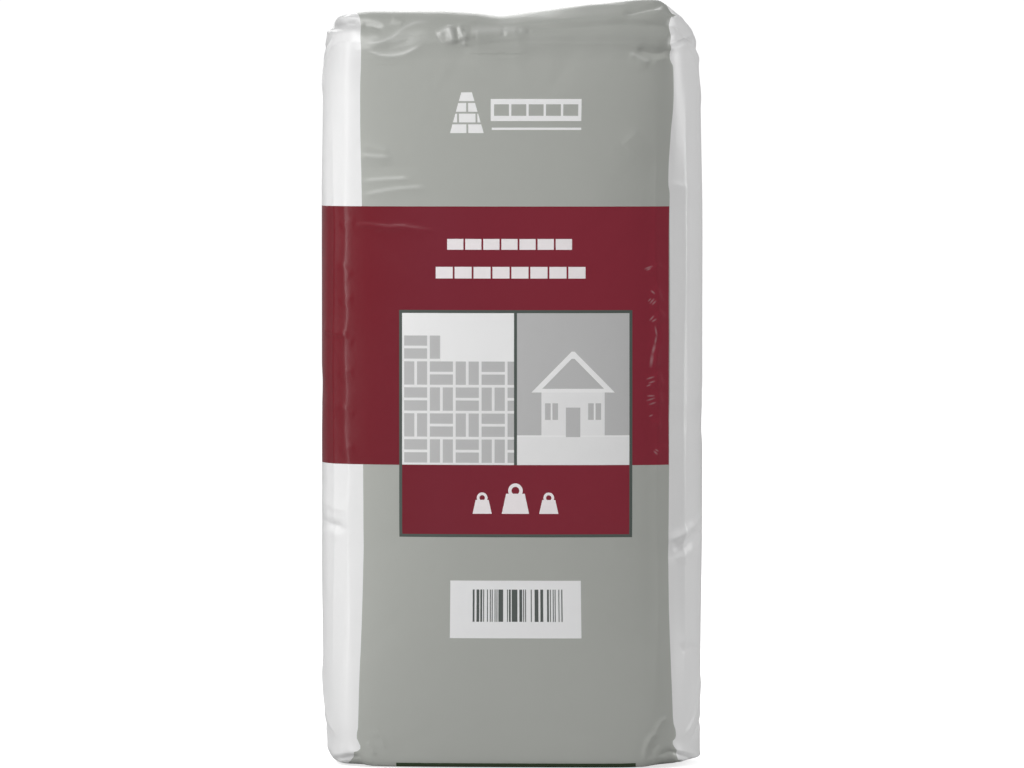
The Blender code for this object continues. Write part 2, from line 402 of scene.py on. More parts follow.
# Some folds in these lists are also lightened along their line by the film's colour: a painted highlight.
FRONT_CREASES = [
    # The top left corner, pulled in under its chamfer
    ("fold", 0.90, 1.4, (-133.0, 512.7), (-125.0, 513.2), (-118.0, 513.8), (-111.0, 515.0), (-102.0, 517.2)),
    ("ridge", -1.90, 2.4, (-128.1, 515.8), (-122.4, 516.7), (-114.0, 518.9), (-106.6, 519.6)),
    ("ridge", -0.70, 2.0, (-106.2, 518.6), (-102.7, 517.9), (-98.5, 517.4), (-93.6, 515.8), (-89.4, 513.7)),
    (
        "worn", 0.80, 1.4,
        (-105.5, 504.8), (-96.0, 505.6), (-89.4, 507.3), (-83.3, 510.3), (-79.0, 513.5), (-73.9, 516.5),
        (-67.1, 519.3), (-56.3, 520.1),
    ),
    (
        "worn", 0.40, 1.2,
        (-103.4, 500.7), (-96.0, 497.7), (-89.4, 496.5), (-82.5, 496.6), (-75.6, 497.9), (-69.0, 500.9),
        (-61.9, 504.9),
    ),
    ("ridge", -0.20, 4.0, (-99.9, 501.8), (-87.2, 501.8), (-76.7, 505.6), (-67.5, 510.6)),
    ("fold", 0.60, 1.4, (-84.4, 523.9), (-79.9, 521.8), (-75.3, 519.3)),
    # Crumples at the middle of the top fold
    ("worn", 0.80, 1.6, (-52.8, 510.6), (-47.8, 514.1), (-42.2, 517.4)),
    ("worn", 1.45, 3.0, (-41.5, 504.2), (-43.0, 512.0), (-44.6, 518.9)),
    ("ridge", -0.60, 1.4, (-39.4, 516.9), (-38.6, 512.0), (-38.0, 506.3)),
    ("worn", 0.70, 1.3, (-34.6, 507.0), (-35.9, 512.5), (-37.5, 518.6)),
    ("ridge", -0.40, 1.2, (-34.5, 517.6), (-33.1, 512.7)),
    ("worn", 0.70, 1.2, (-34.2, 502.5), (-33.4, 507.5), (-32.6, 513.5)),
    ("ridge", -0.40, 2.0, (-29.2, 517.6), (-28.5, 509.1)),
    (
        "worn", 1.50, 3.0,
        (-33.0, 512.8), (-25.0, 513.3), (-16.0, 513.6), (-6.0, 514.0), (4.0, 514.2), (13.0, 514.2),
    ),
    ("ridge", -0.50, 1.4, (-6.0, 517.6), (-6.3, 509.1)),
    ("ridge", -0.50, 1.3, (4.9, 516.9), (4.6, 511.3)),
    ("ridge", -0.40, 1.2, (11.6, 516.2), (12.0, 512.0)),
    ("ridge", -0.35, 4.5, (-47.1, 501.4), (-29.6, 503.5), (-8.4, 505.6), (12.7, 507.0)),
    # The front fold of the loose top, and the pinched ear at its right end
    (
        "fold", 0.50, 1.4,
        (18.3, 520.4), (24.8, 520.5), (42.1, 521.8), (59.3, 522.2), (71.2, 523.2), (80.9, 522.9),
        (91.7, 521.5), (100.6, 520.1), (111.9, 519.3),
    ),
    (
        "ridge", -0.90, 2.6,
        (2.1, 516.5), (16.2, 516.5), (33.8, 516.7), (47.8, 517.4), (61.9, 518.3), (77.4, 519.3),
        (93.6, 518.1), (110.5, 516.5),
    ),
    (
        "step", -0.85, 2.4,
        (-4.0, 518.6), (20.0, 518.6), (42.0, 519.6), (62.0, 520.2), (80.0, 520.8), (98.0, 519.4),
        (120.0, 518.0),
    ),
    ("ridge", -1.80, 2.6, (77.4, 525.0), (88.7, 528.5), (98.5, 531.2), (108.4, 532.7)),
    ("ridge", 0.30, 1.6, (85.1, 525.6), (97.1, 527.8), (108.4, 528.8)),
    ("ridge", 0.40, 1.5, (87.2, 529.9), (97.1, 533.4), (102.7, 535.2)),
    # The top right corner
    ("ridge", 1.10, 2.0, (109.4, 499.8), (116.4, 503.0), (128.1, 507.2)),
    ("ridge", -1.40, 2.8, (109.8, 502.7), (120.3, 508.7), (129.5, 511.6)),
    ("ridge", -1.20, 3.2, (87.2, 501.4), (97.1, 498.6), (103.4, 498.2), (111.2, 501.1)),
    ("worn", 0.60, 1.3, (82.3, 498.6), (87.2, 496.6), (92.2, 494.0), (97.8, 491.6)),
    ("step", 0.35, 4.0, (93.6, 520.4), (92.2, 509.1), (90.8, 497.9)),
    ("ridge", 0.50, 2.2, (98.5, 493.0), (104.1, 494.0), (109.8, 495.8)),
    # Both upright front edges
    (
        "ridge", 0.42, 4.0,
        (-113.3, 492.3), (-115.4, 458.5), (-116.6, 423.3), (-118.0, 395.2), (-116.8, 370.5),
        (-117.8, 342.4), (-116.0, 314.2), (-117.4, 289.6), (-116.2, 261.5), (-117.2, 233.3),
        (-114.3, 205.2), (-115.4, 155.9), (-114.0, 99.7), (-116.1, 43.4), (-114.7, 11.7),
    ),
    (
        "ridge", 0.50, 2.6,
        (100.6, 479.6), (102.0, 430.3), (101.0, 367.0), (102.7, 324.8), (101.0, 289.6), (103.1, 247.4),
        (102.0, 184.1), (103.1, 113.7), (101.3, 50.4), (98.5, 18.7),
    ),
    (
        "ridge", 0.50, 3.0,
        (122.4, 493.7), (121.0, 430.3), (121.7, 352.9), (123.1, 268.5), (121.7, 205.2), (121.0, 113.7),
        (122.4, 43.4), (120.3, 11.7),
    ),
    ("fold", 0.35, 1.1, (95.7, 344.5), (101.3, 348.4), (104.8, 351.5)),
    ("fold", 0.35, 1.1, (99.2, 333.9), (102.7, 330.4), (104.8, 325.5)),
    ("fold", 0.35, 1.1, (96.4, 319.9), (102.0, 323.4), (106.2, 326.9)),
    ("fold", 0.35, 1.1, (97.8, 309.3), (102.0, 313.5), (105.5, 318.5)),
    ("fold", 0.35, 1.1, (101.3, 307.2), (104.1, 311.4), (106.9, 315.7)),
    ("fold", 0.50, 1.3, (101.0, 275.6), (102.0, 286.8), (104.1, 292.4), (105.2, 299.5), (103.8, 309.3)),
    ("fold", 0.30, 1.1, (99.9, 278.4), (101.0, 288.2), (102.7, 294.5)),
    ("fold", 0.35, 1.1, (94.3, 268.5), (99.9, 271.0), (106.2, 272.7)),
    ("fold", 0.35, 1.1, (96.4, 264.3), (102.0, 267.1), (106.9, 269.2)),
    ("fold", 0.35, 1.1, (94.3, 255.1), (100.6, 257.3), (106.2, 259.4)),
    ("fold", 0.35, 1.1, (95.7, 250.9), (101.3, 253.0), (106.9, 255.1)),
    ("fold", 0.35, 1.1, (100.6, 216.4), (104.8, 219.3), (108.4, 223.5)),
    ("fold", 0.35, 0.9, (98.5, 240.4), (102.0, 238.3), (104.8, 235.4)),
    ("fold", 0.30, 1.4, (-121.7, 376.9), (-116.1, 379.7), (-109.8, 380.4)),
    ("fold", 0.30, 1.4, (-121.0, 351.5), (-116.1, 345.9), (-111.2, 343.1)),
    ("fold", 0.30, 1.4, (-121.7, 322.7), (-116.8, 326.2), (-111.2, 326.9)),
    ("fold", 0.30, 1.4, (-120.3, 303.7), (-115.4, 298.1), (-110.5, 296.0)),
    ("fold", 0.30, 1.4, (-122.4, 270.6), (-116.8, 274.8), (-110.5, 275.6)),
    ("fold", 0.30, 1.4, (-121.0, 251.6), (-115.4, 246.7), (-109.8, 244.6)),
    ("fold", 0.30, 1.4, (-121.7, 217.9), (-116.1, 221.4), (-109.8, 221.4)),
    # Long soft folds of the front
    ("worn", 0.60, 1.2, (-107.7, 427.0), (-99.9, 425.9), (-91.5, 425.4), (-83.7, 425.9)),
    ("fold", 0.40, 2.4, (-106.9, 434.6), (-96.4, 431.4), (-85.8, 427.5)),
    ("worn", 0.50, 1.1, (-107.7, 408.0), (-94.3, 409.2), (-82.3, 409.9), (-69.7, 410.4)),
    ("worn", 0.55, 1.1, (-107.7, 398.1), (-96.4, 400.3), (-85.8, 402.1), (-73.2, 403.5), (-57.7, 404.0)),
    (
        "fold", 0.45, 1.0,
        (-116.8, 376.9), (-105.5, 377.8), (-96.4, 377.2), (-87.2, 376.0), (-77.4, 376.4), (-66.1, 374.8),
        (-52.1, 372.9),
    ),
    ("ridge", -0.20, 5.0, (-104.8, 418.4), (-85.8, 419.1), (-64.7, 417.0)),
    ("fold", 0.50, 3.0, (77.4, 432.5), (83.0, 438.1), (90.1, 444.4)),
    # The buckle of the right side and small dents of both sides
    ("ridge", -1.10, 2.6, (112.6, 148.2), (121.0, 153.8), (131.6, 163.7)),
    ("ridge", 0.80, 3.0, (111.9, 154.5), (121.0, 161.6), (131.6, 170.0)),
    ("ridge", 0.60, 3.0, (113.3, 141.9), (122.4, 146.8), (131.6, 155.2)),
    ("ridge", -0.80, 2.6, (-135.1, 164.4), (-128.1, 166.5), (-118.9, 165.8)),
    ("ridge", -0.70, 2.6, (133.7, 77.8), (126.6, 79.9), (118.2, 77.1)),
    # The foot's corners
    ("fold", 0.80, 1.6, (-128.8, 4.0), (-121.0, 5.6), (-114.7, 6.4), (-104.1, 7.1)),
    ("ridge", -1.20, 2.4, (-127.4, 0.8), (-114.7, 3.1), (-105.5, 3.8)),
    ("fold", 0.90, 1.6, (109.8, 9.2), (120.3, 7.1), (131.6, 4.7)),
    ("ridge", -1.20, 2.0, (101.3, 3.3), (106.2, 5.2), (111.9, 7.1), (121.0, 3.6), (130.2, 1.1)),
    ("ridge", 0.60, 1.6, (110.5, 31.4), (106.9, 29.3), (103.2, 24.4), (101.5, 20.1), (101.3, 14.5)),
    ("ridge", 0.60, 1.6, (101.3, 21.6), (97.8, 16.6), (95.7, 12.1), (94.0, 6.8), (93.6, -0.3)),
    ("ridge", -0.50, 2.6, (104.1, 12.4), (99.2, 8.2), (97.8, 1.1)),
    ("ridge", 0.50, 1.8, (-102.7, 13.8), (-98.5, 9.6), (-96.4, 3.3)),
    ("ridge", 0.40, 1.8, (-98.5, 22.3), (-92.2, 16.6), (-88.7, 8.2)),
]

# The same for the right side, the back and the left side, by the turn of the eye in degrees.

SIDE_CREASES = {
    90: [
        ("worn", 1.2, 1.9, (-52, 508), (-34, 500), (-18, 484), (-6, 462)),
        ("worn", 1.2, 1.9, (52, 509), (36, 498), (20, 479), (12, 455)),
        ("ridge", -1.1, 2.8, (-44, 516), (-20, 505), (0, 501), (24, 506), (44, 515)),
        ("worn", 0.9, 1.7, (-26, 510), (-12, 499), (4, 492)),
        ("ridge", 0.7, 2.3, (-43, 40), (-42, 150), (-43, 260), (-41, 370), (-43, 480)),
        ("ridge", 0.7, 2.3, (43, 40), (42, 160), (44, 270), (42, 380), (43, 480)),
        ("ridge", -1.3, 2.5, (-56, 143), (-42, 152), (-28, 159), (-12, 163), (8, 164)),
        ("ridge", 0.8, 2.3, (-56, 155), (-40, 164), (-24, 171), (-6, 175)),
        ("worn", 1.1, 1.7, (-48, 20), (-30, 32), (-16, 50), (-8, 74)),
        ("worn", 1.1, 1.7, (50, 18), (32, 30), (18, 46), (12, 66)),
        ("ridge", -0.8, 2.3, (-38, 16), (-14, 27), (10, 28), (34, 17)),
        ("fold", 0.6, 2.0, (54, 292), (40, 297), (26, 300), (6, 300)),
        ("fold", 0.6, 2.0, (-56, 409), (-42, 405), (-28, 403), (-10, 404)),
        ("fold", 0.5, 1.8, (54, 232), (42, 229), (28, 228)),
    ],
    180: [
        ("worn", 1.2, 1.7, (-108, 508), (-92, 500), (-78, 488), (-66, 470)),
        ("worn", 1.1, 1.7, (-100, 514), (-82, 510), (-62, 508), (-44, 498)),
        ("worn", 1.2, 1.7, (106, 508), (92, 498), (80, 482), (72, 462)),
        ("worn", 0.9, 1.5, (98, 513), (80, 508), (66, 497)),
        ("worn", 1.1, 1.5, (-24, 511), (-20, 500), (-22, 488)),
        ("ridge", -0.8, 1.7, (-15, 511), (-13, 499), (-16, 486)),
        ("worn", 0.9, 1.5, (26, 511), (29, 501), (24, 490)),
        ("worn", 1.1, 1.7, (-112, 20), (-96, 28), (-82, 42), (-74, 60)),
        ("worn", 1.1, 1.7, (110, 18), (94, 30), (84, 46), (78, 66)),
        ("ridge", 0.7, 2.8, (-116, 60), (-117, 180), (-116, 300), (-117, 420), (-115, 490)),
        ("ridge", 0.7, 2.8, (116, 60), (117, 170), (115, 290), (117, 410), (115, 490)),
        ("worn", 0.7, 1.4, (-104, 372), (-84, 376), (-62, 374), (-40, 379)),
        ("worn", 0.7, 1.4, (100, 151), (80, 148), (56, 152), (30, 149)),
        ("worn", 0.5, 1.9, (96, 420), (72, 425), (50, 422)),
        ("ridge", 0.5, 2.3, (-98, 120), (-70, 126), (-46, 122)),
    ],
    -90: [
        ("worn", 1.2, 1.9, (-52, 508), (-36, 498), (-22, 480), (-12, 456)),
        ("worn", 1.2, 1.9, (52, 508), (36, 500), (18, 486), (8, 466)),
        ("ridge", -1.1, 2.8, (-44, 515), (-18, 506), (4, 502), (24, 505), (44, 514)),
        ("worn", 0.8, 1.5, (10, 509), (2, 496), (6, 482)),
        ("ridge", 0.7, 2.3, (-43, 40), (-42, 150), (-44, 260), (-42, 370), (-43, 480)),
        ("ridge", 0.7, 2.3, (42, 40), (43, 160), (42, 270), (43, 380), (42, 480)),
        ("ridge", -0.9, 2.5, (56, 164), (42, 168), (26, 171), (4, 172)),
        ("fold", 0.6, 2.1, (56, 176), (42, 180), (28, 183), (8, 185)),
        ("worn", 1.1, 1.7, (-50, 20), (-32, 33), (-20, 50), (-12, 72)),
        ("worn", 1.1, 1.7, (48, 20), (30, 32), (18, 52), (10, 76)),
        ("ridge", -0.8, 2.3, (-36, 16), (-12, 26), (12, 27), (36, 17)),
        ("fold", 0.6, 2.0, (-56, 352), (-42, 348), (-26, 346), (-6, 347)),
        ("fold", 0.5, 1.8, (54, 300), (40, 303), (24, 304)),
    ],
}

# Both folded ends, by the tilt of the eye in degrees: the corner folds and the edges of the flaps.

END_CREASES = {
    90: [
        ("ridge", -0.8, 1.6, (-124, -53), (-116, -42), (-108, -31)),
        ("ridge", -0.8, 1.6, (-124, 53), (-116, 41), (-107, 29)),
        ("ridge", -0.8, 1.6, (124, -52), (117, -41), (108, -30)),
        ("ridge", -0.8, 1.6, (124, 53), (115, 41), (107, 28)),
        ("ridge", 0.6, 1.6, (-119, -28), (-121, -6), (-118, 22)),
        ("ridge", 0.6, 1.6, (119, -26), (117, 0), (120, 24)),
        ("fold", 0.7, 1.4, (-96, 45), (-50, 47), (0, 45), (52, 47), (98, 45)),
        ("ridge", 0.5, 1.6, (-70, 50), (-62, 40), (-60, 30)),
        ("ridge", 0.5, 1.6, (22, 52), (28, 44), (25, 36)),
        ("ridge", 0.5, 2.2, (66, -30), (74, -8), (70, 16)),
        ("ridge", -0.4, 2.2, (-40, -24), (-46, 0), (-38, 20)),
    ],
    -90: [
        ("ridge", -0.7, 1.6, (-124, -53), (-116, -42), (-108, -31)),
        ("ridge", -0.7, 1.6, (-124, 53), (-116, 41), (-107, 29)),
        ("ridge", -0.7, 1.6, (124, -52), (117, -41), (108, -30)),
        ("ridge", -0.7, 1.6, (124, 53), (115, 41), (107, 28)),
    ],
}

# Small crinkles down the back edges, drawn by chance from a fixed seed

crinkle = np.random.default_rng(31)
for turn, edge_places in ((90, (47,)), (180, (-112, 112)), (-90, (-47,))):
    for _ in range(34):
        edge, low = crinkle.choice(edge_places), crinkle.uniform(25, 500)
        length, slope = crinkle.uniform(5, 13), crinkle.normal(0, 0.45)
        middle = np.array([edge + crinkle.normal(0, 3.0), low])
        along = np.array([math.cos(slope), math.sin(slope)]) * length / 2
        bend = np.array([0, crinkle.normal(0, 0.9)])
        SIDE_CREASES[turn].append(
            (
                "fold", crinkle.uniform(0.35, 0.7) * crinkle.choice((1, 1, -1)), crinkle.uniform(1.0, 1.6),
                tuple(middle - along), tuple(middle + bend), tuple(middle + along),
            )
        )


def seen_from(points, turn, tilt=0.0, distance=1e6):
    """Places as seen from one side: sideways and up in millimetres, and the way towards the eye."""
    sideways = np.array([math.cos(turn), math.sin(turn), 0])
    back = np.array([math.sin(turn) * math.cos(tilt), -math.cos(turn) * math.cos(tilt), math.sin(tilt)])
    upward = np.cross(back, sideways)
    away = points - aim
    scale = 1000 * distance / (distance - away @ back)
    return np.stack([away @ sideways * scale, away @ upward * scale + aim @ upward * 1000], axis=-1), back


def smooth_line(points):
    """Rounds a line of points off into short straight bits."""
    points = np.array(points, float)
    if len(points) > 2:
        ends = np.vstack([2 * points[0] - points[1], points, 2 * points[-1] - points[-2]])
        t = np.linspace(0, 1, 8, endpoint=False)[:, None]
        bits = []
        for a, b, c, d in zip(ends, ends[1:], ends[2:], ends[3:]):
            bits.append(b + 0.5 * t * (c - a + t * (2 * a - 5 * b + 4 * c - d + t * (3 * (b - c) + d - a))))
        points = np.vstack(bits + [points[-1:]])
    return points


FADED_END, GENTLE_SIDE = 0.22, 3.4


def crease_height(seen, kind, height, width, *points):
    """Height in metres that one crease gives to each place, and how much painted highlight it lays on the
    film there. A fold is steep above its line. Some folds are also lightened along their line: a painted
    highlight."""
    line = smooth_line(points)
    result, worn = np.zeros(len(seen)), np.zeros(len(seen))
    margin = 5 * width
    near = np.all((seen > line.min(axis=0) - margin) & (seen < line.max(axis=0) + margin), axis=1)
    near = np.nonzero(near)[0]
    if len(near) == 0:
        return result, worn
    place = seen[near]
    best = np.full(len(near), 1e9)
    side = np.zeros(len(near))
    travelled = np.zeros(len(near))
    steps = np.linalg.norm(np.diff(line, axis=0), axis=1)
    start = np.concatenate([[0], np.cumsum(steps)])
    for a, b, step, before in zip(line, line[1:], steps, start):
        along = (b - a) / step
        t = np.clip((place - a) @ along, 0, step)
        off = place - a - t[:, None] * along
        away = np.hypot(off[:, 0], off[:, 1])
        closer = away < best
        best = np.where(closer, away, best)
        side = np.where(closer, np.sign(along[0] * off[:, 1] - along[1] * off[:, 0]), side)
        travelled = np.where(closer, before + t, travelled)
    share = travelled / start[-1]
    fade = smooth_step(share, 0, FADED_END) * (1 - smooth_step(share, 1 - FADED_END, 1))
    q = best / width
    if kind == "step":
        shape = -side * q * np.exp(-0.5 * q**1.2) * 1.2
    elif kind in ("fold", "worn"):
        shape = np.exp(-(np.where(side > 0, q, q / GENTLE_SIDE) ** 1.25))
        if kind == "worn":
            worn[near] = fade * np.exp(-((q * np.where(side > 0, 0.8, 1.5)) ** 2))
    else:
        shape = np.exp(-(q**1.25)) - 0.18 * np.exp(-((q - 2.2) ** 2) / 1.6)
    result[near] = height / 1000 * fade * shape
    return result, worn


points, normals = read(sack.data.vertices, "co"), read(sack.data.vertex_normals, "vector")
raised, whitened = np.zeros(len(points)), np.zeros(len(points))
views = [(CAMERA_TURN, CAMERA_TILT, CAMERA_DISTANCE, FRONT_CREASES, 0.0)]
for turn, creases in SIDE_CREASES.items():
    views.append((math.radians(turn), 0.0, 1e6, creases, 0.45))
views += [(0.0, math.radians(tilt), 1e6, creases, 0.45) for tilt, creases in END_CREASES.items()]
for turn, tilt, distance, creases, least in views:
    seen, towards = seen_from(points, turn, tilt, distance)
    facing = normals @ towards
    shown = smooth_step(facing, least + 0.02, least + 0.12)
    for crease in creases:
        height, worn = crease_height(seen, *crease)
        raised += height * shown
        whitened = np.maximum(whitened, worn * shown)
raised *= smooth_step(points[:, 2], FOOT_LEVEL + 0.0002, FOOT_LEVEL + 0.004)
points += normals * raised[:, None]
sack.data.vertices.foreach_set("co", points.ravel())
# The painted highlight along the creases is kept on the mesh for the film's colour.
sack.data.attributes.new("painted_crease_glint", "FLOAT", "POINT").data.foreach_set("value", whitened)
sack.data.update()

# Its print. Everything is printed on the white film before it is made into a tube, so it is laid
# out in metres on the flat film.


def sum_of(operation, *values):
    """Joins values, sockets or numbers, with one Math node beside the first socket's own node."""
    tree = next(value.id_data for value in values if isinstance(value, bpy.types.NodeSocket))
    return add_node(tree, "ShaderNodeMath", dict(enumerate(values)), operation=operation).outputs[0]


def joined(operation):
    """A function that joins values with one kind of Math node."""
    return lambda *values: sum_of(operation, *values)


plus, minus, times, over = joined("ADD"), joined("SUBTRACT"), joined("MULTIPLY"), joined("DIVIDE")
size_of, above, below = joined("ABSOLUTE"), joined("GREATER_THAN"), joined("LESS_THAN")


def new_group(name, inputs):
    """Starts a shader group that puts out one mask. Its first input is the place on the flat film."""
    group = bpy.data.node_groups.new(name, "ShaderNodeTree")
    group.interface.new_socket("Film", in_out="INPUT", socket_type="NodeSocketVector")
    for title in inputs:
        group.interface.new_socket(title, in_out="INPUT", socket_type="NodeSocketFloat")
    group.interface.new_socket("Mask", in_out="OUTPUT", socket_type="NodeSocketFloat")
    given = group.nodes.new("NodeGroupInput")
    place = add_node(group, "ShaderNodeSeparateXYZ", {0: given.outputs["Film"]})
    sockets = [given.outputs[title] for title in inputs]
    return group, place.outputs[0], place.outputs[1], sockets


def finish_group(group, mask):
    result = group.nodes.new("NodeGroupOutput")
    group.links.new(mask, result.inputs["Mask"])
    return group


def add_block_group():
    """A shader group: 1 inside an upright block with a straight or a slanted pair of sides."""
    group, u, v, (mid_u, mid_v, width, height, top) = new_group(
        "printed_block", ("Middle U", "Middle V", "Width", "Height", "Top Width")
    )
    rise = minus(v, mid_v)
    share = plus(over(rise, height), 0.5)
    across_here = sum_of("MULTIPLY_ADD", minus(top, width), share, width)
    away = size_of(minus(u, mid_u))
    inside = below(away, times(across_here, 0.5))
    level = below(size_of(rise), times(height, 0.5))
    return finish_group(group, times(inside, level))


def add_ring_group():
    """A shader group: 1 on a ring of a given radius and line width."""
    group, u, v, (mid_u, mid_v, radius, line) = new_group(
        "printed_ring", ("Middle U", "Middle V", "Radius", "Line")
    )
    du, dv = minus(u, mid_u), minus(v, mid_v)
    square = plus(times(du, du), times(dv, dv))
    away = size_of(minus(sum_of("SQRT", square), radius))
    return finish_group(group, below(away, times(line, 0.5)))


def add_stroke_group():
    """A shader group: 1 on the middle of a thin straight line, fading to its sides and its ends."""
    group, u, v, (first_u, first_v, last_u, last_v, width) = new_group(
        "painted_glint_stroke", ("First U", "First V", "Last U", "Last V", "Width")
    )
    du, dv = minus(last_u, first_u), minus(last_v, first_v)
    u, v = minus(u, first_u), minus(v, first_v)
    squared = sum_of("MULTIPLY_ADD", du, du, times(dv, dv))
    share = over(sum_of("MULTIPLY_ADD", u, du, times(v, dv)), squared)
    cross = minus(times(u, dv), times(v, du))
    away = over(size_of(cross), sum_of("SQRT", squared))
    near = add_node(group, "ShaderNodeMapRange", {0: over(away, width), 1: 1.0, 2: 0.2})
    from_middle = size_of(minus(share, 0.5))
    along = add_node(group, "ShaderNodeMapRange", {0: from_middle, 1: 0.5, 2: 0.1})
    return finish_group(group, times(near.outputs[0], along.outputs[0]))


def add_brick_group():
    """A shader group: 1 on the bricks of a plain wall and 0 in its joints."""
    group, u, v, (first_u, first_v, length, height, joint) = new_group(
        "printed_bricks", ("First U", "First V", "Length", "Height", "Joint")
    )
    course = over(minus(v, first_v), height)
    shift = times(sum_of("MODULO", sum_of("FLOOR", course), 2.0), 0.5)
    place = plus(over(minus(u, first_u), length), shift)
    brick = above(times(sum_of("FRACT", place), length), joint)
    bed = above(times(sum_of("FRACT", course), height), joint)
    return finish_group(group, times(brick, bed))


def add_paving_group():
    """A shader group: 1 on stones laid in pairs, turned at each step, and 0 in their joints."""
    group, u, v, (first_u, first_v, pair, joint) = new_group(
        "printed_paving", ("First U", "First V", "Pair", "Joint")
    )
    a = over(minus(u, first_u), pair)
    b = over(minus(v, first_v), pair)
    steps = plus(sum_of("FLOOR", a), sum_of("FLOOR", b))
    turned = sum_of("PINGPONG", steps, 1.0)
    fa, fb = sum_of("FRACT", a), sum_of("FRACT", b)
    along = plus(fa, times(minus(fb, fa), turned))
    aside = plus(fb, times(minus(fa, fb), turned))
    half = times(sum_of("FRACT", times(aside, 2.0)), 0.5)
    stone = above(times(along, pair), joint)
    row = above(times(half, pair), joint)
    return finish_group(group, times(stone, row))


block_group, ring_group, glint_stroke_group = add_block_group(), add_ring_group(), add_stroke_group()
brick_group, paving_group = add_brick_group(), add_paving_group()
film = bpy.data.materials.new("printed_film")
film.use_nodes = True
printing = film.node_tree
shader = printing.nodes["Principled BSDF"]
flat_place = add_node(printing, "ShaderNodeUVMap", uv_map="flat_film").outputs[0]
film_axes = add_node(printing, "ShaderNodeSeparateXYZ", {0: flat_place}).outputs


def printed(group, *millimetres):
    """Places one of these groups on the film. Its sizes are given in millimetres."""
    node = add_node(printing, "ShaderNodeGroup", node_tree=group)
    printing.links.new(flat_place, node.inputs[0])
    for place, size in enumerate(millimetres, 1):
        node.inputs[place].default_value = size / 1000
    return node.outputs[0]


def box(left, right, low, high, top=None):
    """A printed block, by its four edges in millimetres on the flat film, and its width at the top."""
    width, height = right - left, high - low
    return printed(block_group, left + width / 2, low + height / 2, width, height, top or width)


def both(mask, *others):
    for other in others:
        mask = times(mask, other)
    return mask


def either(mask, *others):
    for other in others:
        mask = sum_of("MAXIMUM", mask, other)
    return mask


def less(mask, taken):
    return times(mask, minus(1.0, taken))


def print_over(under, ink, mask):
    """Lays an ink over what is below it. Both are a colour or a socket that gives one."""
    layers = [layer if isinstance(layer, bpy.types.NodeSocket) else (*layer, 1) for layer in (under, ink)]
    return add_node(
        mask.id_data, "ShaderNodeMix", {0: mask, 6: layers[0], 7: layers[1]}, data_type="RGBA"
    ).outputs[2]


def tone_ramp(place, tones, first, last):
    """A colour that changes along a place from 0 to 1, by steps of place and colour."""
    ramp = add_node(printing, "ShaderNodeValToRGB", {0: place})
    steps = ramp.color_ramp.elements
    for step, tone in tones:
        steps.new(step).color = (*tone, 1)
    steps[0].color, steps[len(steps) - 1].color = (*first, 1), (*last, 1)
    return ramp.outputs[0]


WHITE_FILM = (0.848, 0.848, 0.848)
GREY_INK = (0.446, 0.457, 0.427)
# One red ink, darkened where it is lit and lightened where it is shaded: painted shade and painted light.
RED_DARKENED_WHERE_LIT = (0.167, 0.0040, 0.0120)
MIDDLE_RED = (0.203, 0.0135, 0.0290)
RED_LIGHTENED_WHERE_SHADED = (0.262, 0.0186, 0.0375)
FRAME_INK = (0.088, 0.108, 0.096)
PALE_INK = (0.93, 0.93, 0.93)
PALE_ON_RED = (0.95, 0.90, 0.91)
PICTURE_WHITE, PICTURE_GREY, PICTURE_JOINT = (0.96, 0.96, 0.96), (0.56, 0.56, 0.56), (0.90, 0.90, 0.90)
LABEL_INK, BAR_INK, FOOT_GREEN = (0.91, 0.91, 0.915), (0.103, 0.117, 0.111), (0.030, 0.053, 0.0186)

# The bare film is white. Towards the folded top left corner it is darkened by painted shade, deepest in a
# band just under the fold.

FILM_SPAN = 0.6
FOLD_SLANT, FOLD_MIDDLE = -0.09, 0.119
PAINTED_CORNER_SHADE = (
    (0.440, 1.0), (0.465, 0.985), (0.480, 0.95), (0.495, 0.90), (0.5120, 0.83), (0.5142, 0.64),
    (0.5180, 0.62), (0.5205, 0.71),
)
film_places = add_node(printing, "ShaderNodeTexCoord").outputs["Object"]
place_axes = add_node(printing, "ShaderNodeSeparateXYZ", {0: film_places}).outputs
slanted = sum_of("MULTIPLY_ADD", plus(place_axes[0], FOLD_MIDDLE), FOLD_SLANT, place_axes[2])
corner_shade_tones = [(height / FILM_SPAN, [share * white for white in WHITE_FILM]) for height, share in PAINTED_CORNER_SHADE]
shaded_corner_white = tone_ramp(over(slanted, FILM_SPAN), corner_shade_tones, WHITE_FILM, corner_shade_tones[-1][1])
colour = print_over(WHITE_FILM, shaded_corner_white, below(film_axes[0], 0.0))

# The grey of both faces, the red band round the left side, and the white side film in the ends.
# The red is darker at the brightly lit left edge and lighter towards the shaded right: painted shade and
# painted light that even out how the lamps fall on the band.

HALF_GIRTH = GIRTH * 500
LEFT_EDGE, RIGHT_EDGE, BACK_EDGE = -102.3, 114.4, 108
BAND_LOW, BAND_HIGH = 211.3, 391.4
ALL_HEIGHTS = (-200, 900)
RED_COUNTER_SHADING = (
    (-0.27, MIDDLE_RED), (-0.150, RED_DARKENED_WHERE_LIT), (-0.115, RED_DARKENED_WHERE_LIT), (-0.05, MIDDLE_RED), (0.108, RED_LIGHTENED_WHERE_SHADED),
)
round_the_tube = plus(over(film_axes[0], GIRTH), 0.5)
reds = [(place / GIRTH + 0.5, tone) for place, tone in RED_COUNTER_SHADING]
counter_shaded_red = tone_ramp(round_the_tube, reds, MIDDLE_RED, MIDDLE_RED)


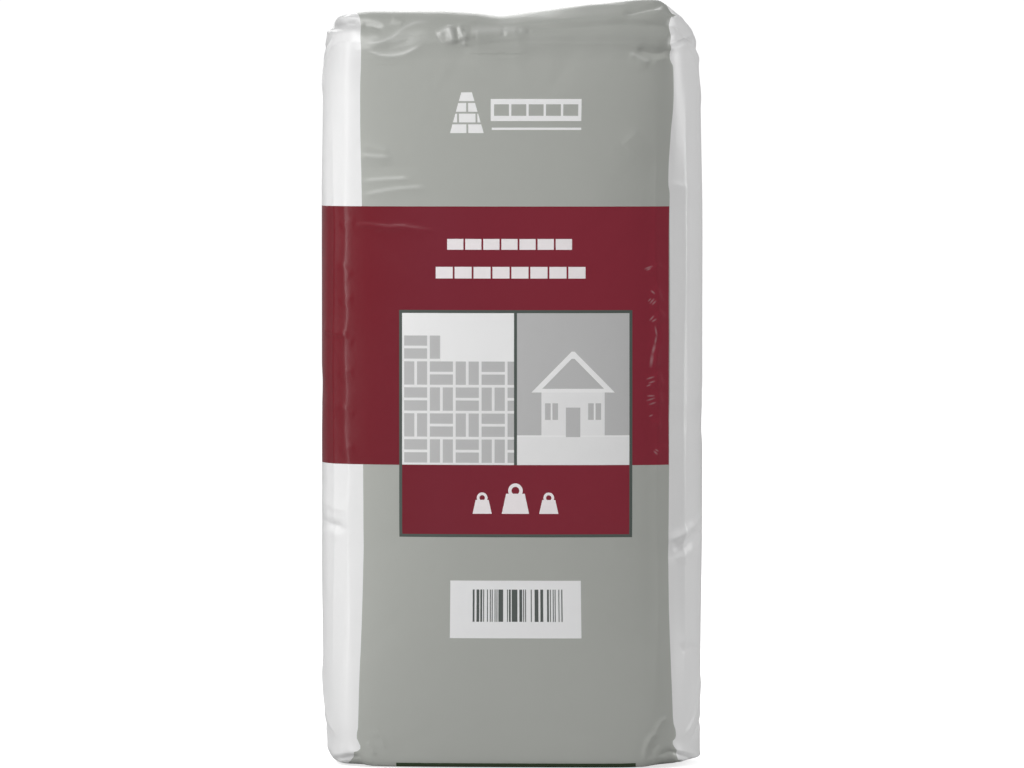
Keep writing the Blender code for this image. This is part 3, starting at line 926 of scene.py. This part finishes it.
def edge_line(middle, *bends):
    """Where an upright edge of the print runs, in metres: bends in millimetres by their height."""
    WIDEST_BEND = 20
    bend = add_node(printing, "ShaderNodeFloatCurve", {1: over(film_axes[1], FILM_SPAN)})
    points = bend.mapping.curves[0].points
    bends = ((0, bends[0][1]), *bends, (FILM_SPAN * 1000, bends[-1][1]))
    places = [(height / (FILM_SPAN * 1000), 0.5 + size / WIDEST_BEND) for height, size in bends]
    points[0].location, points[-1].location = places[0], places[-1]
    for place in places[1:-1]:
        points.new(*place)
    bend.mapping.update()
    bent = times(minus(bend.outputs[0], 0.5), WIDEST_BEND / 1000)
    return plus(bent, middle / 1000)


left_line = edge_line(
    LEFT_EDGE, (0, -5.0), (6, -3.5), (11, 1.2), (17, -1.6), (26, -0.4), (60, 0.2), (420, 0.0), (470, 1.2),
    (505, 2.2), (522, 1.2),
)
right_line = edge_line(
    RIGHT_EDGE, (2, 4.0), (8, 3.4), (13, 0.0), (18, 3.4), (28, 1.2), (40, 0.4), (400, 0.0), (408, -1.2),
    (440, -0.4), (470, 1.6), (490, 1.4), (499, -1.6), (508, 0.2), (522, 1.0),
)
# The front grey is darkened towards the top fold: painted shade.
TOP_SHADE_FROM, TOP_SHADE_FULL_AT, TOP_SHADE_DEEPEST = 0.494, 0.514, 0.80
painted_top_shade = {0: film_axes[1], 1: TOP_SHADE_FROM, 2: TOP_SHADE_FULL_AT, 3: 1.0, 4: TOP_SHADE_DEEPEST}
painted_top_shade = add_node(printing, "ShaderNodeMapRange", painted_top_shade).outputs[0]
shaded_front_grey = print_over((0, 0, 0), GREY_INK, painted_top_shade)
colour = print_over(
    colour, shaded_front_grey, both(above(film_axes[0], left_line), below(film_axes[0], right_line))
)
back_left = (-HALF_GIRTH - 1, -HALF_GIRTH + BACK_EDGE)
back_right = (HALF_GIRTH - BACK_EDGE, HALF_GIRTH + 1)
for back_half in (back_left, back_right):
    colour = print_over(colour, GREY_INK, box(*back_half, *ALL_HEIGHTS))
for band in ((back_left[0], RIGHT_EDGE), back_right):
    colour = print_over(colour, counter_shaded_red, box(*band, BAND_LOW, BAND_HIGH))
from_face = size_of(film_axes[0])
from_face = sum_of("MINIMUM", from_face, minus(GIRTH / 2, from_face))
over_top = minus(film_axes[1], TUBE_LENGTH)
past_rim = sum_of("MAXIMUM", over_top, times(film_axes[1], -1.0))
FLAP_TUCK, FLAP_START = 0.003, 0.016
side_flap = above(plus(from_face, past_rim), CORNER_U + FLAP_TUCK)
side_flap = both(side_flap, above(past_rim, FLAP_START))
colour = print_over(colour, WHITE_FILM, side_flap)
FRAME_LEFT, FRAME_RIGHT, FRAME_LOW, FRAME_HIGH, FRAME_LINE = -75.6, 87.4, 161.1, 319.3, 2.1
colour = print_over(colour, FOOT_GREEN, box(FRAME_LEFT, FRAME_RIGHT, -40, 3.2))

# The emblem's place: a stack of bricks beside a pale panel with a course of bricks cut out of it

stack = both(printed(brick_group, -40.4, 441.1, 12.6, 7.4, 1.3), box(-39.1, -15.9, 442.4, 478.2, 3.0))
stack = both(stack, box(-39.1, -15.9, 442.4, 471.5))
cut_out = both(printed(brick_group, -10.4, 452.8, 11.8, 9.6, 1.6), box(-8.8, 48.6, 454.0, 462.4))
panel = less(box(-11.1, 50.8, 450.8, 466.1), cut_out)
colour = print_over(colour, PALE_INK, either(stack, panel, box(-10.4, 50.8, 444.6, 446.2)))

# The title's place: two courses of pale bricks

title = either(
    both(printed(brick_group, -43.0, 360.0, 12.6, 8.8, 1.3), box(-41.8, 45.6, 360.6, 368.8)),
    both(printed(brick_group, -51.0, 340.0, 13.2, 9.8, 1.3), box(-49.7, 54.6, 341.0, 349.4)),
)
colour = print_over(colour, PALE_ON_RED, title)

# The framed panel: stone paving on the left, a plain house on the right, weights below

LEFT, RIGHT, LOW, HIGH = -73.5, 85.3, 211.5, 317.2
BAR_LEFT, BAR_RIGHT = 4.9, 7.0
paved = either(box(LEFT, BAR_LEFT, LOW, 283.5), box(LEFT, -46.0, LOW, 301.5))
stones = both(paved, printed(paving_group, -73.9, 211.1, 18.1, 1.9))
GROUND, EAVES, ROOF_RIDGE = 231.0, 262.0, 290.5
house = [
    (PICTURE_JOINT, box(24.0, 68.0, GROUND + 1.2, EAVES)),
    (PICTURE_WHITE, box(17.0, 75.0, EAVES, ROOF_RIDGE, 2.0)),
    (PICTURE_GREY, box(24.5, 67.5, EAVES + 2.6, ROOF_RIDGE - 5.0, 2.0)),
    (PICTURE_GREY, box(41.0, 51.0, GROUND, 251.5)),
]
for window in (26.5, 56.5):
    house.append((PICTURE_GREY, box(window, window + 9.0, 243.0, 254.5)))
    house.append((PICTURE_WHITE, box(window + 3.9, window + 5.1, 243.0, 254.5)))
weights = either(box(-3.6, 15.4, 177.5, 191.5, 13.0), printed(ring_group, 5.9, 193.6, 3.9, 2.4))
for left in (-24.0, 22.4):
    small_weight = box(left, left + 13.4, 177.5, 187.2, 9.0)
    weights = either(weights, small_weight, printed(ring_group, left + 6.7, 188.6, 2.8, 1.9))
for ink, mask in (
    (FRAME_INK, box(FRAME_LEFT, FRAME_RIGHT, FRAME_LOW, FRAME_HIGH)),
    (counter_shaded_red, box(LEFT, RIGHT, FRAME_LOW + FRAME_LINE, HIGH)),
    (PICTURE_WHITE, box(LEFT, BAR_LEFT, LOW, HIGH)),
    (PICTURE_JOINT, paved),
    (PICTURE_GREY, stones),
    (PICTURE_GREY, box(BAR_RIGHT, RIGHT, LOW, HIGH)),
    (PICTURE_JOINT, box(BAR_RIGHT, RIGHT, LOW, GROUND)),
    (PICTURE_WHITE, box(BAR_RIGHT, RIGHT, GROUND, GROUND + 1.2)),
    *house,
    (FRAME_INK, box(BAR_LEFT, BAR_RIGHT, LOW, HIGH)),
    (PALE_ON_RED, weights),
):
    colour = print_over(colour, ink, mask)

# The pale label with its plain bars

colour = print_over(colour, LABEL_INK, box(-39.4, 51.2, 90.7, 130.9))
THINNEST_BAR = 0.00066
bar_step = sum_of("FLOOR", sum_of("MULTIPLY_ADD", film_axes[0], 1 / THINNEST_BAR, 0.0))
bar_draw = add_node(printing, "ShaderNodeTexWhiteNoise", {"W": bar_step}, noise_dimensions="1D")
bars = both(above(bar_draw.outputs["Value"], 0.45), box(-23.8, 38.4, 102.2, 124.7))
colour = print_over(colour, BAR_INK, bars)

# Painted highlights: the film is lightened towards white along its sharp creases, and in short strokes down
# its right edge where small crinkles catch the light: both ends and the width of each stroke

GLINT_STROKES = [
    (95.5, 347.6, 102.4, 350.0, 0.9), (97.0, 346.8, 101.0, 348.6, 0.8), (100.4, 333.2, 103.8, 330.2, 0.9),
    (99.6, 323.4, 103.4, 327.6, 0.8), (101.2, 322.6, 104.6, 326.0, 0.8), (98.4, 325.0, 101.0, 327.6, 0.7),
    (99.4, 311.6, 103.2, 315.6, 0.8), (101.0, 310.8, 105.0, 313.4, 0.8), (103.6, 308.6, 105.2, 300.0, 0.9),
    (104.8, 302.0, 103.4, 294.6, 1.0), (103.8, 296.6, 101.4, 287.6, 1.3), (101.8, 290.0, 100.4, 278.6, 1.5),
    (97.0, 271.0, 103.6, 273.0, 0.8), (98.6, 268.2, 104.0, 270.0, 0.8), (97.2, 266.0, 101.0, 267.6, 0.7),
    (97.4, 259.4, 104.0, 259.6, 0.8), (97.0, 256.0, 104.2, 258.2, 0.8), (98.8, 253.2, 104.8, 255.2, 0.8),
    (99.0, 245.0, 102.4, 246.4, 0.7), (102.4, 221.4, 105.8, 218.4, 0.9), (103.4, 222.4, 106.6, 220.6, 0.7),
]
# How far the painted highlights of the strokes and the creases lighten the film.
STROKE_GLINT, CREASE_GLINT = 0.16, 0.13
glint_strokes = either(*(printed(glint_stroke_group, *stroke) for stroke in GLINT_STROKES))
colour = print_over(colour, WHITE_FILM, times(glint_strokes, STROKE_GLINT))
# Painted highlight: the film is lightened along its creases.
painted_crease_glint = add_node(printing, "ShaderNodeAttribute", attribute_name="painted_crease_glint").outputs["Fac"]
colour = print_over(colour, WHITE_FILM, times(painted_crease_glint, CREASE_GLINT))
printing.links.new(colour, shader.inputs["Base Color"])


def mottle(tree, places, scale, detail):
    noise = add_node(tree, "ShaderNodeTexNoise", {"Vector": places, "Scale": scale, "Detail": detail})
    return noise.outputs["Fac"]


def ripple(tree, height, distance):
    bump = add_node(tree, "ShaderNodeBump", {"Height": height, "Strength": 1.0, "Distance": distance})
    return bump.outputs["Normal"]


smudges = {0: mottle(printing, film_places, 14.0, 4.0), 1: 0.2, 2: 0.8, 3: 0.28, 4: 0.33}
gloss = add_node(printing, "ShaderNodeMapRange", smudges, interpolation_type="SMOOTHSTEP").outputs[0]
printing.links.new(gloss, shader.inputs["Roughness"])
shader.inputs["Specular IOR Level"].default_value = 0.45
film_ripples = ripple(printing, mottle(printing, film_places, 110.0, 3.0), 0.00012)
printing.links.new(film_ripples, shader.inputs["Normal"])
sack.data.materials.clear()
sack.data.materials.append(film)

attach(sack, "root")
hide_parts("filled_sack")

# The two cover strips. Each is a band of plain white film half a millimetre thick, glued flat over
# a folded end with its edges left open. It is cut from a grid, laid on the end and given its
# thickness.

STRIP_ACROSS, STRIP_THICKNESS, GLUE_GAP = 0.846, 0.0005, 0.00025
strip_film = bpy.data.materials.new("cover_strip_film")
strip_film.use_nodes = True
strip_nodes = strip_film.node_tree
strip_shader = strip_nodes.nodes["Principled BSDF"]
strip_places = add_node(strip_nodes, "ShaderNodeTexCoord").outputs["Object"]
strip_mottle = mottle(strip_nodes, strip_places, 60.0, 4.0)
strip_tone = print_over((0.76, 0.76, 0.75), (0.83, 0.83, 0.825), strip_mottle)
strip_nodes.links.new(strip_tone, strip_shader.inputs["Base Color"])
strip_shader.inputs["Roughness"].default_value = 0.42
strip_nodes.links.new(ripple(strip_nodes, strip_mottle, 0.0002), strip_shader.inputs["Normal"])


def on_end(level, across, through):
    """Places on a settled end, read between the lines of its mesh."""
    lines = on_ends[level]
    a = (np.clip(across, -1, 1) + 1) / 2 * CUTS_ACROSS
    b = (np.clip(through, -1, 1) + 1) / 2 * CUTS_THROUGH
    i, j = np.minimum(a.astype(int), CUTS_ACROSS - 1), np.minimum(b.astype(int), CUTS_THROUGH - 1)
    s, t = (a - i)[:, None], (b - j)[:, None]
    near = lines[i, j] * (1 - t) + lines[i, j + 1] * t
    far = lines[i + 1, j] * (1 - t) + lines[i + 1, j + 1] * t
    return near * (1 - s) + far * s


for level, name, node, near, far in (
    (1, "top_strip", "top_cover_strip", -0.40, 0.608),
    (-1, "foot_strip", "bottom_cover_strip", -0.608, 0.608),
):
    bpy.ops.object.select_all(action="DESELECT")
    bpy.ops.mesh.primitive_grid_add(x_subdivisions=96, y_subdivisions=32, size=2)
    strip = bpy.context.object
    strip.name = name
    a, b, _ = read(strip.data.vertices, "co").T
    cut_corner = 1 - 0.035 * smooth_step(np.abs(b), 0.75, 1.0)
    a, b = a * STRIP_ACROSS * cut_corner, near + (far - near) * (b + 1) / 2
    laid_places = on_end(level, a, b)
    step = 0.01
    along = on_end(level, a + step, b) - on_end(level, a - step, b)
    through_it = on_end(level, a, b + step) - on_end(level, a, b - step)
    outward = np.cross(along, through_it) * level
    outward /= np.linalg.norm(outward, axis=1)[:, None]
    laid_places += outward * (GLUE_GAP + STRIP_THICKNESS / 2)
    if level < 0:
        laid_places[:, 2] = np.maximum(laid_places[:, 2], STRIP_THICKNESS / 2)
    strip.data.vertices.foreach_set("co", laid_places.ravel())
    strip.data.update()
    thick = strip.modifiers.new("thickness", "SOLIDIFY")
    thick.thickness, thick.offset = STRIP_THICKNESS, 0.0
    bpy.ops.object.modifier_apply(modifier="thickness")
    bpy.ops.object.shade_smooth_by_angle(angle=math.radians(40))
    strip.data.materials.clear()
    strip.data.materials.append(strip_film)
    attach(strip, "root")
    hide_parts(node)
